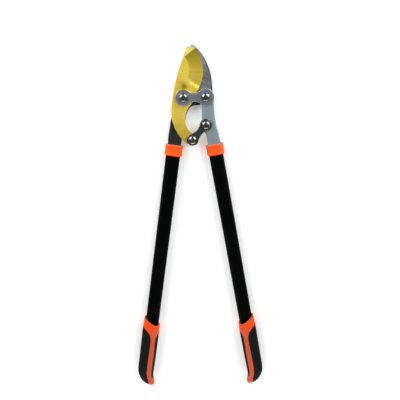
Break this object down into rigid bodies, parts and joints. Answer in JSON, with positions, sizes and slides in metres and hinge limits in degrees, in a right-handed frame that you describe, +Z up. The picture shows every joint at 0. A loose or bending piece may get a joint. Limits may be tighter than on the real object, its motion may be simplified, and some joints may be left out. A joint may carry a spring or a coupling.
{
  "type": "bypass lopper",
  "caption": "Long-handled compound-action bypass lopper: curved coated blade passing a steel hook, link-driven, with oval tube handles and two-tone grips.",
  "frame": {"origin": "on the main pivot's axis, in the plane that the bolt ends and the grips rest on", "axes": "+Z up, out of the domed bolt heads' side; +Y from the handles towards the blade tip; +X towards the right handle"},
  "size_m": [0.2674, 0.7042, 0.0261],
  "materials": {
    "blade_coating": "golden nitride coating on ground steel",
    "hook_steel": "black coated forging with a ground grey face at the hook",
    "plate_steel": "dark gunmetal, satin",
    "link_steel": "dark gunmetal, satin",
    "tang_paint": "blue-grey satin coating",
    "bolt_chrome": "polished domed heads",
    "zinc": "bright zinc plate",
    "bronze": "plain bronze bearing sleeve",
    "tube_black": "black satin powder coat",
    "collar_orange": "moulded, fine satin texture",
    "core_orange": "moulded, fine satin texture",
    "sleeve_black": "soft black overmould, matte",
    "plug_black": "plain moulding"
  },
  "bodies": {
    "frame": {"hook_blade": "hook_steel", "tie_plate": "plate_steel", "main_pivot_bolt": "bolt_chrome", "main_pivot_sleeve": "bronze", "main_pivot_washer": "zinc", "main_pivot_nut": "zinc", "handle_pivot_bolt": "bolt_chrome", "handle_pivot_sleeve": "bronze", "handle_pivot_washer": "zinc", "handle_pivot_nut": "zinc", "left_collar": "collar_orange", "left_tube": "tube_black", "left_tang_pin": "zinc", "left_tube_plug": "plug_black", "left_grip_core": "core_orange", "left_grip_sleeve": "sleeve_black"},
    "blade": {"cutting_blade": "blade_coating"},
    "right_handle": {"right_tang": "tang_paint", "right_collar": "collar_orange", "right_tube": "tube_black", "right_tang_pin": "zinc", "right_tube_plug": "plug_black", "right_grip_core": "core_orange", "right_grip_sleeve": "sleeve_black"},
    "link": {"link_plate_front": "link_steel", "link_plate_back": "link_steel", "blade_link_bolt": "bolt_chrome", "blade_link_sleeve": "bronze", "blade_link_washer": "zinc", "blade_link_nut": "zinc", "handle_link_bolt": "bolt_chrome", "handle_link_sleeve": "bronze", "handle_link_washer": "zinc", "handle_link_nut": "zinc"}
  },
  "joints": [
    {"name": "handle_open", "type": "hinge", "parent": "frame", "child": "right_handle", "pos_m": [0.041, 0, 0.0149], "axis": [0, 0, 1], "range_deg": [0, 50]},
    {"name": "blade_open", "type": "hinge", "parent": "frame", "child": "blade", "pos_m": [0, 0, 0.0149], "axis": [0, 0, 1], "range_deg": [0, 31]},
    {"name": "link_swing", "type": "hinge", "parent": "right_handle", "child": "link", "pos_m": [0.0405, -0.0505, 0.0149], "axis": [0, 0, 1], "range_deg": [-55, 0]}
  ],
  "couplings": [
    {"joint": "blade_open", "follows": "handle_open", "ratio": 0.605},
    {"joint": "link_swing", "follows": "handle_open", "ratio": -1.08}
  ]
}
